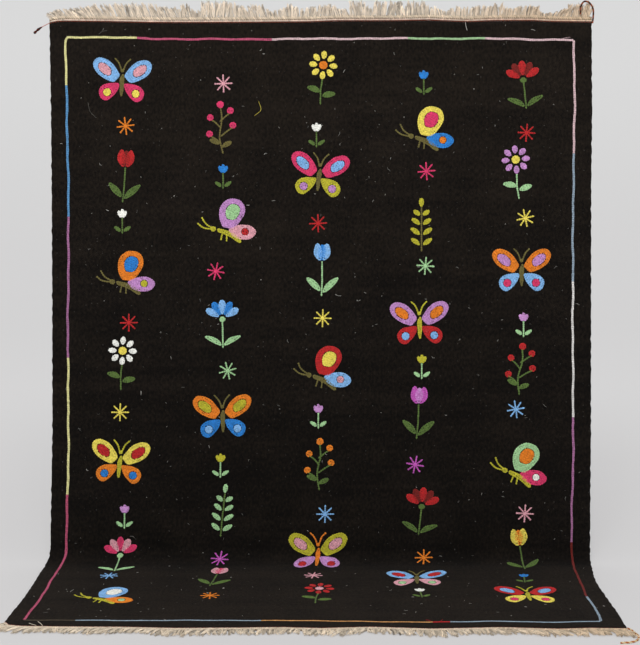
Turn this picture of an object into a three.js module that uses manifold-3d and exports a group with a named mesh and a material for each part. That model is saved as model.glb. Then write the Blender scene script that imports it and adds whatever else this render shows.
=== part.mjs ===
// A flat-woven wool kilim rug, 1.52 m wide and 2 m long, as it is shown for sale: pinned up by its
// top edge on a plane that leans back a little, with its last half metre swept forward along the floor.
// Millimetres. +X is the viewer's right, +Y points back, away from the viewer, and +Z is up.
// The origin is the middle of the cloth's top edge, on its back face.
import * as THREE from 'three';
import * as BufferGeometryUtils from 'three/addons/utils/BufferGeometryUtils.js';
import Module from 'manifold-3d';

const wasm = await Module();
wasm.setup();

// Driving sizes of the cloth
const rugWidth = 1520;
const halfWidth = rugWidth / 2;
const clothThickness = 3;
const leanBack = THREE.MathUtils.degToRad(6);
const hangingLength = 1522;
const sagReach = 60;
const leftBendRadius = 60;
const rightBendRadius = 35;
const columns = 24;

// Driving sizes of the end finishes. Touching pieces keep pieceGap between them.
const pieceGap = 0.3;
const twiningDiameter = 2.6;
const bandHeight = 14;
const bandThickness = 4.2;
const locksPerEnd = 112;
const lockRoot = { width: 9, depth: 4 };
const lockTip = { width: 6, depth: 2.2 };
const lockSteps = 2;
const lockCurl = { mean: 3.5, spread: 2.5 };
const lockHeightSpread = 0.06;
const lockLeanSpread = 3;
const lockRootDepth = 0.4;

// Driving sizes of the twisted cord that runs along each end and hangs loose at three corners
const cordDiameter = 4.4;
const leftCordDiameter = 3.6;
const cordTwistPitch = 16;
const cordStepsPerPitch = 6;
const cordSides = 8;
const plyDepth = 0.2;
const plainEnd = { share: 0, swell: 1 };
const knottedEnd = { share: 0.55, swell: 1.6 };

// The two woven ends, never quite straight. side runs from -1 at the left edge to 1 at the right.
// sag is how far the top edge hangs below a straight line.
const topEdge = [
  { side: -1, sag: 5 },
  { side: -0.99, sag: 2.5 },
  { side: -0.97, sag: 0 },
  { side: -0.94, sag: -1 },
  { side: -0.78, sag: 0.3 },
  { side: -0.63, sag: 3 },
  { side: -0.48, sag: 3.4 },
  { side: -0.26, sag: 2.9 },
  { side: -0.04, sag: 1.6 },
  { side: 0.05, sag: -1.2 },
  { side: 0.26, sag: -1.3 },
  { side: 0.4, sag: -3.2 },
  { side: 0.54, sag: 1.6 },
  { side: 0.64, sag: -1.5 },
  { side: 0.78, sag: -1.5 },
  { side: 0.86, sag: 1.5 },
  { side: 1, sag: 3 },
];

// length is the cloth's length on a line down it, to its lower end
const lowerEdge = [
  { side: -1, length: 1958 },
  { side: -0.98, length: 1978 },
  { side: -0.94, length: 1986 },
  { side: -0.84, length: 1990 },
  { side: -0.6, length: 1994 },
  { side: -0.44, length: 2002 },
  { side: -0.24, length: 2000 },
  { side: -0.1, length: 1997 },
  { side: 0.02, length: 2004 },
  { side: 0.18, length: 1996 },
  { side: 0.38, length: 2009 },
  { side: 0.6, length: 2000 },
  { side: 0.78, length: 2011 },
  { side: 0.88, length: 2006 },
  { side: 1, length: 2009 },
];

// Soft unevenness of the hanging cloth: a wave's height, its turns across and its length down
const ripples = [
  { height: 1.6, across: 3.1, length: 310, phase: 0 },
  { height: 0.9, across: 8.7, length: -190, phase: 2 },
];

// Where the hanging unevenness and the lifted rim on the floor begin and end, down from the top edge
const rippleRange = { start: 30, full: 300, fading: 1400, end: 1480 };
const rimRange = { start: 1600, full: 1680, fading: 1880, end: 1960 };
const rimLift = { height: 3, wave: 2, waveLength: 45, innerSide: 0.93 };

// How many rows of cells each stretch of the cloth gets, and where it starts and ends from the top edge
const clothSections = [
  { name: 'hanging', from: 0, to: 1460, rows: 13 },
  { name: 'bend', from: 1460, to: 1564, rows: 11 },
  { name: 'floor', from: 1564, to: 'end', rows: 8 },
];

// Where the two side edges run at each distance down from the top edge
const sideEdges = [
  { down: 0, left: -760, right: 758.5 },
  { down: 130, left: -758.5, right: 759 },
  { down: 240, left: -757, right: 760.5 },
  { down: 460, left: -756, right: 758.5 },
  { down: 800, left: -755.5, right: 759.5 },
  { down: 1140, left: -756.5, right: 760.5 },
  { down: 1366, left: -761.5, right: 759 },
  { down: 1500, left: -765, right: 760 },
  { down: 1540, left: -772, right: 757.5 },
  { down: 1590, left: -772.5, right: 750.5 },
  { down: 1640, left: -771, right: 743 },
  { down: 1690, left: -769.5, right: 737.5 },
  { down: 1735, left: -767, right: 736 },
  { down: 1800, left: -766, right: 739 },
  { down: 1860, left: -767.5, right: 741 },
  { down: 1900, left: -772, right: 742 },
  { down: 1940, left: -775, right: 742 },
  { down: 2015, left: -776, right: 740.5 },
];

// How far each stretch of the upper fringe stands up from its band, and how far it leans to the right
const topFringe = [
  { across: -760, height: 3, lean: -46 },
  { across: -735, height: 14, lean: -58 },
  { across: -700, height: 25, lean: -42 },
  { across: -610, height: 29, lean: -27 },
  { across: -480, height: 30, lean: -20 },
  { across: -410, height: 26, lean: -14 },
  { across: -372, height: 32, lean: -4 },
  { across: -350, height: 13, lean: 0 },
  { across: -325, height: 38, lean: 2 },
  { across: -270, height: 36, lean: -6 },
  { across: -215, height: 26, lean: -14 },
  { across: -180, height: 20, lean: -24 },
  { across: -155, height: 29, lean: -16 },
  { across: -120, height: 14, lean: -8 },
  { across: -85, height: 30, lean: 0 },
  { across: -50, height: 18, lean: 8 },
  { across: 20, height: 25, lean: -10 },
  { across: 70, height: 13, lean: -20 },
  { across: 105, height: 34, lean: 0 },
  { across: 132, height: 16, lean: 4 },
  { across: 160, height: 31, lean: 12 },
  { across: 260, height: 32, lean: -6 },
  { across: 315, height: 20, lean: -20 },
  { across: 350, height: 11, lean: -6 },
  { across: 380, height: 23, lean: 4 },
  { across: 440, height: 23, lean: 22 },
  { across: 495, height: 29, lean: 12 },
  { across: 535, height: 15, lean: 18 },
  { across: 580, height: 23, lean: 22 },
  { across: 622, height: 9, lean: 44 },
  { across: 650, height: 15, lean: 34 },
  { across: 690, height: 27, lean: 24 },
  { across: 745, height: 34, lean: 6 },
  { across: 762, height: 26, lean: 2 },
];

// The same for the lower fringe, which reaches forward along the floor
const bottomFringe = [
  { across: -776, height: 23, lean: -46 },
  { across: -690, height: 26, lean: -38 },
  { across: -650, height: 30, lean: -24 },
  { across: -600, height: 22, lean: -30 },
  { across: -470, height: 28, lean: -22 },
  { across: -400, height: 22, lean: -12 },
  { across: -330, height: 32, lean: -18 },
  { across: -240, height: 23, lean: -10 },
  { across: -160, height: 27, lean: 8 },
  { across: -90, height: 22, lean: -6 },
  { across: 10, height: 30, lean: -16 },
  { across: 60, height: 23, lean: -10 },
  { across: 160, height: 29, lean: 12 },
  { across: 290, height: 30, lean: 16 },
  { across: 360, height: 23, lean: 8 },
  { across: 440, height: 20, lean: 20 },
  { across: 500, height: 30, lean: 26 },
  { across: 560, height: 26, lean: 18 },
  { across: 610, height: 30, lean: 22 },
  { across: 690, height: 26, lean: 24 },
  { across: 720, height: 30, lean: 20 },
  { across: 744, height: 36, lean: 12 },
];

// Directions of the hanging plane: down along the cloth, and out of its front face
const wallDown = new THREE.Vector3(0, -Math.sin(leanBack), -Math.cos(leanBack));
const wallFront = new THREE.Vector3(0, -Math.cos(leanBack), Math.sin(leanBack));
const bendAngle = Math.PI / 2 - leanBack;
const floorHeight = -hangingLength * Math.cos(leanBack);

const kilimBlack = { color: 0x1c1a18, roughness: 0.95, metalness: 0 };
const fringeCream = { color: 0xc6b89f, roughness: 0.9, metalness: 0 };
const twineRust = { color: 0x6e2f1c, roughness: 0.85, metalness: 0 };

// A repeatable number from -1 to 1 for piece number i
function jitter(i, kind) {
  const wave = Math.sin(i * 12.9898 + kind * 78.233) * 43758.5453;
  return 2 * (wave - Math.floor(wave)) - 1;
}

// Reads a column of a table at a place between its rows
function readTable(table, key, at, column) {
  const next = table.findIndex((row) => row[key] >= at);
  if (next === 0) return table[0][column];
  if (next < 0) return table[table.length - 1][column];
  const before = table[next - 1];
  const after = table[next];
  const share = (at - before[key]) / (after[key] - before[key]);
  return THREE.MathUtils.lerp(before[column], after[column], share);
}

// -1 at the left edge and 1 at the right edge becomes 0 to 1
function shareAcross(side) {
  return (side + 1) / 2;
}

function bendRadius(side) {
  return THREE.MathUtils.lerp(leftBendRadius, rightBendRadius, shareAcross(side));
}

function cutLength(side) {
  return readTable(lowerEdge, 'side', side, 'length');
}

function topSag(side) {
  return readTable(topEdge, 'side', side, 'sag');
}

function acrossAt(side, down) {
  const left = readTable(sideEdges, 'down', down, 'left');
  const right = readTable(sideEdges, 'down', down, 'right');
  return THREE.MathUtils.lerp(left, right, shareAcross(side));
}

// Rises from 0 to 1 and falls back to 0 along the cloth
function fadeInAndOut(range, down) {
  const rising = THREE.MathUtils.smoothstep(down, range.start, range.full);
  return rising * (1 - THREE.MathUtils.smoothstep(down, range.fading, range.end));
}

// How far the hanging cloth stands forward of the plane it hangs on
function hangingRipple(side, down) {
  const waves = ripples.map(({ height, across, length, phase }) => (
    height * (1 + Math.sin(across * side + down / length + phase))
  ));
  return fadeInAndOut(rippleRange, down) * (waves[0] + waves[1]);
}

// How far the rim of the part on the floor lifts at its two side edges
function floorLift(side, down) {
  const rim = THREE.MathUtils.smoothstep(Math.abs(side), rimLift.innerSide, 1);
  const wavy = rimLift.height + rimLift.wave * Math.sin(down / rimLift.waveLength + side);
  return fadeInAndOut(rimRange, down) * rim * wavy;
}

// A point of the cloth: side across it, down along it, and lift from its back face
function clothPoint(side, down, lift) {
  const radius = bendRadius(side);
  const bendStart = hangingLength - radius * Math.tan(bendAngle / 2);
  const turned = THREE.MathUtils.clamp((down - bendStart) / radius, 0, bendAngle);
  const onWall = Math.min(down, bendStart);
  const onFloor = Math.max(down - bendStart - radius * bendAngle, 0);
  const slope = leanBack + turned;
  const front = new THREE.Vector3(0, -Math.cos(slope), Math.sin(slope));
  const point = wallDown.clone().multiplyScalar(onWall);
  point.addScaledVector(wallFront, radius).addScaledVector(front, -radius);
  point.y -= onFloor;
  point.x = acrossAt(side, down);
  const outward = lift + hangingRipple(side, down) + floorLift(side, down);
  return point.addScaledVector(front, outward);
}

// A point beside the cloth's top edge: rise up from the edge, lift from the hanging plane
function abovePoint(side, rise, lift) {
  const point = wallDown.clone().multiplyScalar(topSag(side) - rise);
  point.x = acrossAt(side, 0);
  return point.addScaledVector(wallFront, lift);
}

// A point beside the cloth's lower edge: reach forward from the edge, lift above the floor
function forwardPoint(side, reach, lift) {
  const point = clothPoint(side, cutLength(side), 0);
  point.y -= reach;
  point.z = floorHeight + lift;
  return point;
}

// Keeps only the positions and shares them, so that the faces close
function closed(geometry) {
  const bare = geometry.clone();
  bare.deleteAttribute('normal');
  bare.deleteAttribute('uv');
  return BufferGeometryUtils.mergeVertices(bare, 1e-4);
}

// Turns the faces round if the shape came out as a mirror image, as the lower end's pieces do
function facingOut(geometry) {
  const position = geometry.getAttribute('position');
  const corners = geometry.index.array;
  const [a, b, c] = [new THREE.Vector3(), new THREE.Vector3(), new THREE.Vector3()];
  let volume = 0;
  for (let i = 0; i < corners.length; i += 3) {
    a.fromBufferAttribute(position, corners[i]);
    b.fromBufferAttribute(position, corners[i + 1]);
    c.fromBufferAttribute(position, corners[i + 2]);
    volume += a.dot(b.cross(c));
  }
  if (volume < 0) {
    corners.reverse();
  }
  return geometry;
}

// Moves every vertex of a plain shape to where place(x, y, z) says
function reshape(geometry, place) {
  const shaped = closed(geometry);
  const position = shaped.getAttribute('position');
  for (let i = 0; i < position.count; i += 1) {
    const moved = place(position.getX(i), position.getY(i), position.getZ(i));
    position.setXYZ(i, moved.x, moved.y, moved.z);
  }
  return facingOut(shaped);
}

function toManifold(geometry) {
  return new wasm.Manifold(new wasm.Mesh({
    numProp: 3,
    vertProperties: Float32Array.from(geometry.getAttribute('position').array),
    triVerts: Uint32Array.from(geometry.index.array),
  }));
}

// One closed geometry from solids that grow out of one another
function fused(geometries) {
  const mesh = geometries.map(toManifold).reduce((whole, next) => whole.add(next)).getMesh();
  const geometry = new THREE.BufferGeometry();
  geometry.setAttribute('position', new THREE.BufferAttribute(mesh.vertProperties, 3));
  geometry.setIndex(new THREE.BufferAttribute(mesh.triVerts, 1));
  return geometry;
}

// Turns an even row number into a distance down the cloth, by the sections table
function downAtRow(row, side) {
  let first = 0;
  for (const section of clothSections) {
    const end = section.to === 'end' ? cutLength(side) : section.to;
    if (row <= first + section.rows) {
      return THREE.MathUtils.lerp(section.from, end, (row - first) / section.rows);
    }
    first += section.rows;
  }
  return cutLength(side);
}

function makeCloth() {
  const rows = clothSections.reduce((sum, section) => sum + section.rows, 0);
  const blank = new THREE.BoxGeometry(2, rows, clothThickness, columns, rows, 1);
  return reshape(blank, (x, y, z) => {
    const side = Math.sin((x * Math.PI) / 2);
    const down = downAtRow(rows / 2 - y, side);
    const sag = topSag(side) * Math.exp(-down / sagReach);
    return clothPoint(side, down + sag, z + clothThickness / 2);
  });
}

// A band across one end of the rug, with its locks of fringe growing out of it.
// place(side, out, lift) gives a point beside that end's edge.
function makeFringe(place, table, lockLift) {
  const bandStart = pieceGap + twiningDiameter + pieceGap;
  const blank = new THREE.BoxGeometry(2, bandHeight, bandThickness, columns, 1, 1);
  const band = reshape(blank, (x, y, z) => (
    place(Math.sin((x * Math.PI) / 2), bandStart + bandHeight / 2 + y, z + bandThickness / 2)
  ));
  const pitch = 2 / locksPerEnd;
  const locks = Array.from({ length: locksPerEnd }, (_, i) => {
    const side = -1 + pitch * (i + 0.5);
    return makeLock(side, i, bandStart + bandHeight * (1 - lockRootDepth), place, table, lockLift);
  });
  return fused([band, ...locks]);
}

// One lock: a three-sided taper that bends over sideways, its flat side towards what it lies on
function makeLock(side, i, rootOut, place, table, lockLift) {
  const across = side * halfWidth;
  const tall = readTable(table, 'across', across, 'height') * (1 + lockHeightSpread * jitter(i, 1));
  const lean = readTable(table, 'across', across, 'lean') + lockLeanSpread * jitter(i, 2);
  const fullBend = THREE.MathUtils.degToRad(lean);
  const length = bandHeight * lockRootDepth + tall / Math.cos(fullBend * 0.8);
  const blank = new THREE.CylinderGeometry(1, 1, 1, 3, lockSteps);
  return reshape(blank, (x, y, z) => {
    const along = y + 0.5;
    const width = THREE.MathUtils.lerp(lockRoot.width, lockTip.width, along);
    const depth = THREE.MathUtils.lerp(lockRoot.depth, lockTip.depth, along);
    const bend = fullBend * (0.6 + 0.4 * along);
    const sideways = (x * width) / Math.sqrt(3);
    const lift = lockLift(along, i) + (depth * (z + 0.5)) / 1.5;
    const out = rootOut + length * along * Math.cos(bend) - sideways * Math.sin(bend);
    const point = place(side, out, lift);
    point.x += length * along * Math.sin(bend) + sideways * Math.cos(bend);
    return point;
  });
}

// Upper locks curl forward off the plane by a few millimetres, each its own way
function standingLift(along, i) {
  return (lockCurl.mean + lockCurl.spread * jitter(i, 3)) * along * along;
}

// Lower locks lie on the floor along their whole length
function lyingLift() {
  return 0;
}

// The plain run of the two-colour cord between the cloth and the band
function makeTwining(place) {
  const radius = twiningDiameter / 2;
  const blank = new THREE.CylinderGeometry(radius, radius, 2, cordSides, columns);
  blank.rotateZ(-Math.PI / 2);
  const flatBottom = Math.PI / cordSides;
  blank.rotateX(flatBottom);
  const floorTouch = radius * Math.cos(flatBottom);
  return reshape(blank, (x, y, z) => (
    place(Math.sin((x * Math.PI) / 2), pieceGap + radius - z, floorTouch + y)
  ));
}

// A loose corner cord: a round bar along its route, with its points moved to raise two twisted
// plies, and to swell them where its end is knotted
function makeCornerCord(stops, diameter, end) {
  const route = new THREE.CatmullRomCurve3(stops, false, 'centripetal');
  const turns = route.getLength() / cordTwistPitch;
  const steps = Math.round(turns * cordStepsPerPitch);
  const section = new THREE.Shape().absarc(0, 0, diameter / 2, 0, 2 * Math.PI);
  const curveSegments = cordSides / 2;
  const extrusion = { steps, curveSegments, bevelEnabled: false, extrudePath: route };
  const bar = new THREE.ExtrudeGeometry(section, extrusion);
  const rings = route.getSpacedPoints(steps);
  const frames = route.computeFrenetFrames(steps, false);
  return reshape(bar, (x, y, z) => {
    const point = new THREE.Vector3(x, y, z);
    const gaps = rings.map((ring) => ring.distanceTo(point));
    const step = gaps.indexOf(Math.min(...gaps));
    const offset = point.clone().sub(rings[step]);
    const angle = Math.atan2(offset.dot(frames.binormals[step]), offset.dot(frames.normals[step]));
    const twist = (2 * Math.PI * turns * step) / steps;
    const ply = 1 - plyDepth + plyDepth * Math.cos(2 * (angle - twist));
    const swell = step > steps * (1 - end.share) ? end.swell : 1;
    return point.copy(rings[step]).addScaledVector(offset, ply * swell);
  });
}

// Up the right side of the fringe, over it in an arch, and down in front of it
function topRightRoute() {
  const stops = [
    { across: 760.6, rise: -1, lift: 2 },
    { across: 761.6, rise: 8, lift: 2.8 },
    { across: 762.2, rise: 22, lift: 5.4 },
    { across: 761, rise: 35, lift: 9 },
    { across: 755, rise: 47, lift: 12 },
    { across: 745, rise: 55.5, lift: 13.5 },
    { across: 734.5, rise: 56, lift: 14 },
    { across: 727, rise: 47, lift: 14 },
    { across: 724.5, rise: 35, lift: 14 },
    { across: 724, rise: 21, lift: 13 },
  ];
  return stops.map((stop) => {
    const point = wallDown.clone().multiplyScalar(topSag(1) - stop.rise);
    point.x = stop.across;
    return point.addScaledVector(wallFront, stop.lift);
  });
}

// Out from the upper left corner, sloping down beside the cloth to a small knot
function topLeftRoute() {
  const stops = [
    { across: -760.8, rise: 2, lift: 1.8 },
    { across: -767, rise: -1, lift: 2.4 },
    { across: -778, rise: -7, lift: 3.5 },
    { across: -791, rise: -16, lift: 5 },
    { across: -803, rise: -27, lift: 5.5 },
  ];
  return stops.map((stop) => {
    const point = wallDown.clone().multiplyScalar(topSag(-1) - stop.rise);
    point.x = stop.across;
    return point.addScaledVector(wallFront, stop.lift);
  });
}

// Round on the floor from the lower right corner, back towards the fringe's front
function bottomRightRoute() {
  const edge = forwardPoint(1, 0, 0);
  const stops = [
    { across: 1.3, reach: 0.8 },
    { across: 5.6, reach: 5.4 },
    { across: 8.8, reach: 13 },
    { across: 11.4, reach: 24 },
    { across: 14, reach: 38 },
    { across: 14, reach: 54 },
    { across: 7.5, reach: 73 },
    { across: -5, reach: 84.5 },
    { across: -21, reach: 89.5 },
    { across: -37, reach: 91 },
  ];
  return stops.map((stop) => (
    new THREE.Vector3(edge.x + stop.across, edge.y - stop.reach, floorHeight + cordDiameter / 2)
  ));
}

function named(name, geometry, finish) {
  const mesh = new THREE.Mesh(geometry, new THREE.MeshStandardMaterial(finish));
  mesh.name = name;
  return mesh;
}

const rug = new THREE.Group();
rug.add(named('kilim_cloth', makeCloth(), kilimBlack));
rug.add(named('top_twining', makeTwining(abovePoint), twineRust));
rug.add(named('bottom_twining', makeTwining(forwardPoint), twineRust));
rug.add(named('top_fringe', makeFringe(abovePoint, topFringe, standingLift), fringeCream));
rug.add(named('bottom_fringe', makeFringe(forwardPoint, bottomFringe, lyingLift), fringeCream));
rug.add(named(
  'corner_cord_top_right',
  makeCornerCord(topRightRoute(), cordDiameter, plainEnd),
  twineRust,
));
rug.add(named(
  'corner_cord_top_left',
  makeCornerCord(topLeftRoute(), leftCordDiameter, knottedEnd),
  twineRust,
));
rug.add(named(
  'corner_cord_bottom_right',
  makeCornerCord(bottomRightRoute(), cordDiameter, plainEnd),
  twineRust,
));

export default rug;
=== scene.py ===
import math

import bmesh
import bpy
import numpy as np
from mathutils import Matrix, Vector


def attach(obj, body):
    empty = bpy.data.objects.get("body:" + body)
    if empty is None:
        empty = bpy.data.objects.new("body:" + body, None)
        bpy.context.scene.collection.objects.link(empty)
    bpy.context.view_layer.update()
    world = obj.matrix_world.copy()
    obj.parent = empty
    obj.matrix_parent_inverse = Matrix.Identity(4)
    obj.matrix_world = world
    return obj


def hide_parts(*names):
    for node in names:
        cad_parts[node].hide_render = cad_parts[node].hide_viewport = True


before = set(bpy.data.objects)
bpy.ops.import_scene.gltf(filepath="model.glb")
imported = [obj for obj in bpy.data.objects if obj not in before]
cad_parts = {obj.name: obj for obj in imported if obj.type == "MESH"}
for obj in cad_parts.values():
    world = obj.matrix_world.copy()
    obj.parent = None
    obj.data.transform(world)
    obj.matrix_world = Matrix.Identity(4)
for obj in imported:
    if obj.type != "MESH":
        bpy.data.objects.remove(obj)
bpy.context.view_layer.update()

# A black wool kilim, embroidered in chain stitch, pinned up by its top edge with its foot swept
# forward along the floor. Metres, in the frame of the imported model.

dice = np.random.default_rng(7)


def linked(name, data):
    made = bpy.data.objects.new(name, data)
    bpy.context.collection.objects.link(made)
    return made


# camera

photoCamera = {
    "place": (0.0067, -3.4831, -0.4113),
    "turnLeft": 0.153,  # degrees
    "tiltDown": 7.154,
    "roll": -0.037,
    "lens": 67.81,  # on a 36 mm sensor along the photo's long side
}


def placeCamera(sizes):
    lens = bpy.data.cameras.new("photo_camera")
    lens.lens = sizes["lens"]
    lens.sensor_width = 36
    lens.clip_end = 60
    camera = linked("photo_camera", lens)
    turn = Matrix.Rotation(math.radians(sizes["turnLeft"]), 4, "Z")
    tilt = Matrix.Rotation(math.radians(90 - sizes["tiltDown"]), 4, "X")
    roll = Matrix.Rotation(math.radians(sizes["roll"]), 4, "Z")
    camera.matrix_world = Matrix.Translation(sizes["place"]) @ turn @ tilt @ roll
    bpy.context.scene.camera = camera


placeCamera(photoCamera)
print("camera placed")

# where the cloth is

cloth = {
    "halfWidth": 0.76,
    "thickness": 0.003,
    "lean": math.radians(6),  # the hanging plane leans back
    "hanging": 1.522,  # top edge to the fold line on the floor
    "sagReach": 0.06,
    "leftBend": 0.06,
    "rightBend": 0.035,
}

# how far the top edge sags, from the left side at -1 to the right side at 1
topSags = [
    (-1, 0.005), (-0.99, 0.0025), (-0.97, 0), (-0.94, -0.001), (-0.78, 0.0003), (-0.63, 0.003),
    (-0.48, 0.0034), (-0.26, 0.0029), (-0.04, 0.0016), (0.05, -0.0012), (0.26, -0.0013),
    (0.4, -0.0032), (0.54, 0.0016), (0.64, -0.0015), (0.78, -0.0015), (0.86, 0.0015), (1, 0.003),
]

# the cloth's length at each side
clothLengths = [
    (-1, 1.958), (-0.98, 1.978), (-0.94, 1.986), (-0.84, 1.990), (-0.6, 1.994), (-0.44, 2.002),
    (-0.24, 2.000), (-0.1, 1.997), (0.02, 2.004), (0.18, 1.996), (0.38, 2.009), (0.6, 2.000),
    (0.78, 2.011), (0.88, 2.006), (1, 2.009),
]

# distance down the cloth, left edge, right edge
sideEdges = [
    (0, -0.760, 0.7585), (0.130, -0.7585, 0.759), (0.240, -0.757, 0.7605), (0.460, -0.756, 0.7585),
    (0.800, -0.7555, 0.7595), (1.140, -0.7565, 0.7605), (1.366, -0.7615, 0.759),
    (1.500, -0.765, 0.760), (1.540, -0.772, 0.7575), (1.590, -0.7725, 0.7505),
    (1.640, -0.771, 0.743), (1.690, -0.7695, 0.7375), (1.735, -0.767, 0.736), (1.800, -0.766, 0.739),
    (1.860, -0.7675, 0.741), (1.900, -0.772, 0.742), (1.940, -0.775, 0.742), (2.015, -0.776, 0.7405),
]

wallDown = np.array([0, -math.sin(cloth["lean"]), -math.cos(cloth["lean"])])
wallFront = np.array([0, -math.cos(cloth["lean"]), math.sin(cloth["lean"])])
bendAngle = math.pi / 2 - cloth["lean"]
floorHeight = -cloth["hanging"] * math.cos(cloth["lean"])
up = np.array([0, 0, 1.0])


def column(table, at, pick=1):
    rows = np.array(table)
    return np.interp(at, rows[:, 0], rows[:, pick])


def smooth(values, low, high):
    share = np.clip((values - low) / (high - low), 0, 1)
    return share * share * (3 - 2 * share)


def acrossAt(side, down):
    left, right = column(sideEdges, down, 1), column(sideEdges, down, 2)
    return left + (right - left) * (side + 1) / 2


# height, how fast it runs across and down, and where it starts
ripples = [(0.0016, 3.1, 0.310, 0), (0.0009, 8.7, -0.190, 2)]


def rippleAt(side, down):
    waves = sum(
        height * (1 + np.sin(across * side + down / length + start))
        for height, across, length, start in ripples
    )
    return smooth(down, 0.03, 0.3) * (1 - smooth(down, 1.4, 1.48)) * waves


# the side edges stand up a little where the cloth lies on the floor
def rimLiftAt(side, down):
    rim = smooth(np.abs(side), 0.93, 1) * (0.003 + 0.002 * np.sin(down / 0.045 + side))
    return smooth(down, 1.6, 1.68) * (1 - smooth(down, 1.88, 1.96)) * rim


def together(*values):
    return np.broadcast_arrays(*[np.asarray(value, float) for value in values])


# side across the cloth, distance down along it, lift off its back face
def clothPoint(side, down, lift):
    side, down, lift = together(side, down, lift)
    radius = cloth["leftBend"] + (cloth["rightBend"] - cloth["leftBend"]) * (side + 1) / 2
    start = cloth["hanging"] - radius * math.tan(bendAngle / 2)
    turned = np.clip((down - start) / radius, 0, bendAngle)
    onFloor = np.maximum(down - start - radius * bendAngle, 0)
    slope = cloth["lean"] + turned
    front = np.stack([np.zeros_like(slope), -np.cos(slope), np.sin(slope)], -1)
    point = np.minimum(down, start)[..., None] * wallDown
    point = point + radius[..., None] * (wallFront - front)
    point[..., 1] -= onFloor
    point[..., 0] = acrossAt(side, down)
    return point + front * (lift + rippleAt(side, down) + rimLiftAt(side, down))[..., None]


# rise above the cloth's top edge, lift off the hanging plane
def abovePoint(side, rise, lift):
    side, rise, lift = together(side, rise, lift)
    point = (column(topSags, side) - rise)[..., None] * wallDown + lift[..., None] * wallFront
    point[..., 0] = acrossAt(side, 0)
    return point


# reach forward of the cloth's lower edge, lift above the floor
def forwardPoint(side, reach, lift):
    side, reach, lift = together(side, reach, lift)
    point = clothPoint(side, column(clothLengths, side), 0)
    point[..., 1] -= reach
    point[..., 2] = floorHeight + lift
    return point


# points given as metres across and down the cloth
def onCloth(flat, lift):
    return clothPoint(flat[..., 0] / cloth["halfWidth"], flat[..., 1], lift)


# small helpers for meshes

def unit(vectors):
    return vectors / np.linalg.norm(vectors, axis=-1, keepdims=True)


def newShape():
    shape = bmesh.new()
    shape.loops.layers.uv.new("OFBake")
    return shape


def pointsOf(shape):
    return np.array([vert.co for vert in shape.verts])


def objectFrom(shape, name, material):
    mesh = bpy.data.meshes.new(name)
    shape.to_mesh(mesh)
    shape.free()
    mesh.materials.append(material)
    return linked(name, mesh)


# one mesh of many copies of a shape: places holds the points of every copy
def joinedCopies(name, shape, places, finish, colours, tones):
    count, size = places.shape[:2]
    shape.verts.index_update()
    faceSizes = [len(face.verts) for face in shape.faces]
    corners = np.array([vert.index for face in shape.faces for vert in face.verts])
    mesh = bpy.data.meshes.new(name)
    mesh.vertices.add(count * size)
    mesh.vertices.foreach_set("co", places.astype(np.float32).ravel())
    mesh.loops.add(len(corners) * count)
    offsets = size * np.arange(count)[:, None]
    mesh.loops.foreach_set("vertex_index", (corners + offsets).astype(np.int32).ravel())
    mesh.polygons.add(len(faceSizes) * count)
    starts = np.cumsum(np.tile(faceSizes, count)) - np.tile(faceSizes, count)
    mesh.polygons.foreach_set("loop_start", starts.astype(np.int32))
    mesh.update(calc_edges=True)
    mesh.shade_smooth()
    # every copy gets its own cell of one map, with a margin round it
    layer = shape.loops.layers.uv.active
    margin, cells = 0.08, math.ceil(math.sqrt(count))
    own = np.array([loop[layer].uv for face in shape.faces for loop in face.loops])
    cell = np.stack([np.arange(count) % cells, np.arange(count) // cells], -1)[:, None, :]
    spread = (cell + margin + (1 - 2 * margin) * own) / cells
    mesh.uv_layers.new(name="OFBake").data.foreach_set("uv", spread.astype(np.float32).ravel())
    yarn = np.ones((count, size, 4), np.float32)
    yarn[..., :3] = colours
    mesh.attributes.new("yarn", "FLOAT_COLOR", "POINT").data.foreach_set("color", yarn.ravel())
    tone = np.broadcast_to(tones, (count, size)).astype(np.float32)
    mesh.attributes.new("tone", "FLOAT", "POINT").data.foreach_set("value", tone.ravel())
    mesh.materials.append(finish)
    shape.free()
    piece = linked(name, mesh)
    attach(piece, "root")
    return piece


def plainTube(sides, steps):
    shape = newShape()
    bmesh.ops.create_cone(
        shape, cap_ends=True, segments=sides, radius1=1, radius2=1, depth=1,
        matrix=Matrix.Translation((0, 0, 0.5)), calc_uvs=True,
    )
    standing = [e for e in shape.edges if abs(e.verts[0].co.z - e.verts[1].co.z) > 0.5]
    if steps > 1:
        bmesh.ops.subdivide_edges(shape, edges=standing, cuts=steps - 1)
    return shape


# round yarns along many paths at once; facing is a direction that no path runs along
def yarnsAlong(name, paths, radii, facing, finish, colours, tones=1.0, sides=3):
    steps = paths.shape[1] - 1
    shape = plainTube(sides, steps)
    points = pointsOf(shape)
    ring = np.rint(points[:, 2] * steps).astype(int)
    along = unit(np.gradient(paths, axis=1))
    first = unit(np.cross(np.broadcast_to(facing, along.shape), along))
    second = np.cross(along, first)
    radii = np.broadcast_to(radii, paths.shape[:2])[:, ring, None]
    offset = first[:, ring] * points[:, 0, None] + second[:, ring] * points[:, 1, None]
    colours = np.asarray(colours, float)
    tones = np.asarray(tones, float)
    if colours.ndim == 3 and colours.shape[1] == steps + 1:
        colours = colours[:, ring]
    if tones.ndim == 2 and tones.shape[1] == steps + 1:
        tones = tones[:, ring]
    return joinedCopies(name, shape, paths[:, ring] + offset * radii, finish, colours, tones)


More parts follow.
